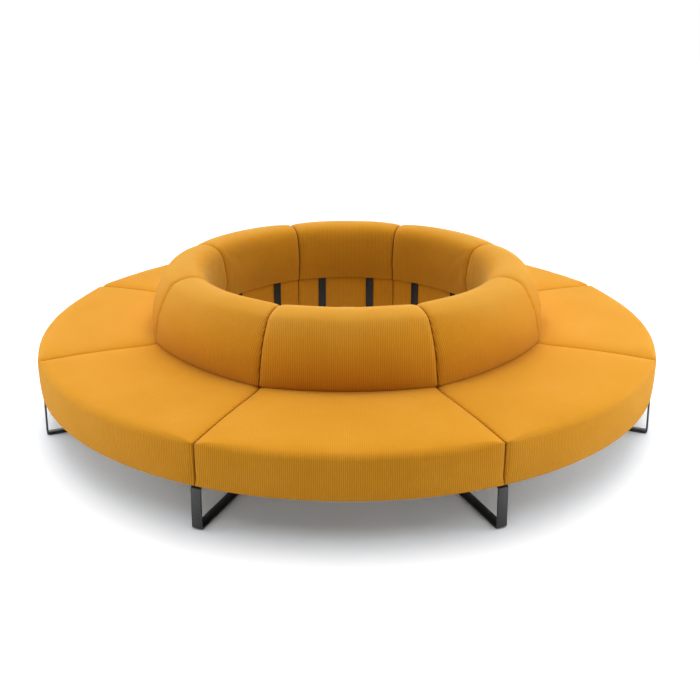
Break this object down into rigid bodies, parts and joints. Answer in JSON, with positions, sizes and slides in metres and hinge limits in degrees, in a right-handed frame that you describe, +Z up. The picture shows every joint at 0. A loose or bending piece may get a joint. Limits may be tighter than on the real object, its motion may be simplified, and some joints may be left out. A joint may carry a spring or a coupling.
{
  "type": "round sofa",
  "caption": "Ring-shaped modular lounge sofa with outward-facing upholstered seats, padded backs around an open centre and flat-bar sled legs.",
  "frame": {"origin": "on the ring's axis at floor level", "axes": "+Z up along the ring's axis, -Y towards the front module's seat, so the pictured front faces -Y"},
  "size_m": [3.226, 3.226, 0.727],
  "materials": {
    "fabric": "mustard woven wool upholstery",
    "plywood": "sanded birch plywood",
    "steel": "black satin powder coat"
  },
  "bodies": {
    "root": {"seat_cushion_1": "fabric", "seat_cushion_2": "fabric", "seat_cushion_3": "fabric", "seat_cushion_4": "fabric", "seat_cushion_5": "fabric", "seat_cushion_6": "fabric", "seat_cushion_7": "fabric", "seat_cushion_8": "fabric", "back_cushion_1": "fabric", "back_cushion_2": "fabric", "back_cushion_3": "fabric", "back_cushion_4": "fabric", "back_cushion_5": "fabric", "back_cushion_6": "fabric", "back_cushion_7": "fabric", "back_cushion_8": "fabric", "seat_base_1": "plywood", "seat_base_2": "plywood", "seat_base_3": "plywood", "seat_base_4": "plywood", "seat_base_5": "plywood", "seat_base_6": "plywood", "seat_base_7": "plywood", "seat_base_8": "plywood", "back_board_1": "plywood", "back_board_2": "plywood", "back_board_3": "plywood", "back_board_4": "plywood", "back_board_5": "plywood", "back_board_6": "plywood", "back_board_7": "plywood", "back_board_8": "plywood", "back_support_1_left": "steel", "back_support_1_right": "steel", "back_support_2_left": "steel", "back_support_2_right": "steel", "back_support_3_left": "steel", "back_support_3_right": "steel", "back_support_4_left": "steel", "back_support_4_right": "steel", "back_support_5_left": "steel", "back_support_5_right": "steel", "back_support_6_left": "steel", "back_support_6_right": "steel", "back_support_7_left": "steel", "back_support_7_right": "steel", "back_support_8_left": "steel", "back_support_8_right": "steel", "leg_1": "steel", "leg_2": "steel", "leg_3": "steel", "leg_4": "steel", "leg_5": "steel", "leg_6": "steel", "leg_7": "steel", "leg_8": "steel"}
  },
  "joints": []
}
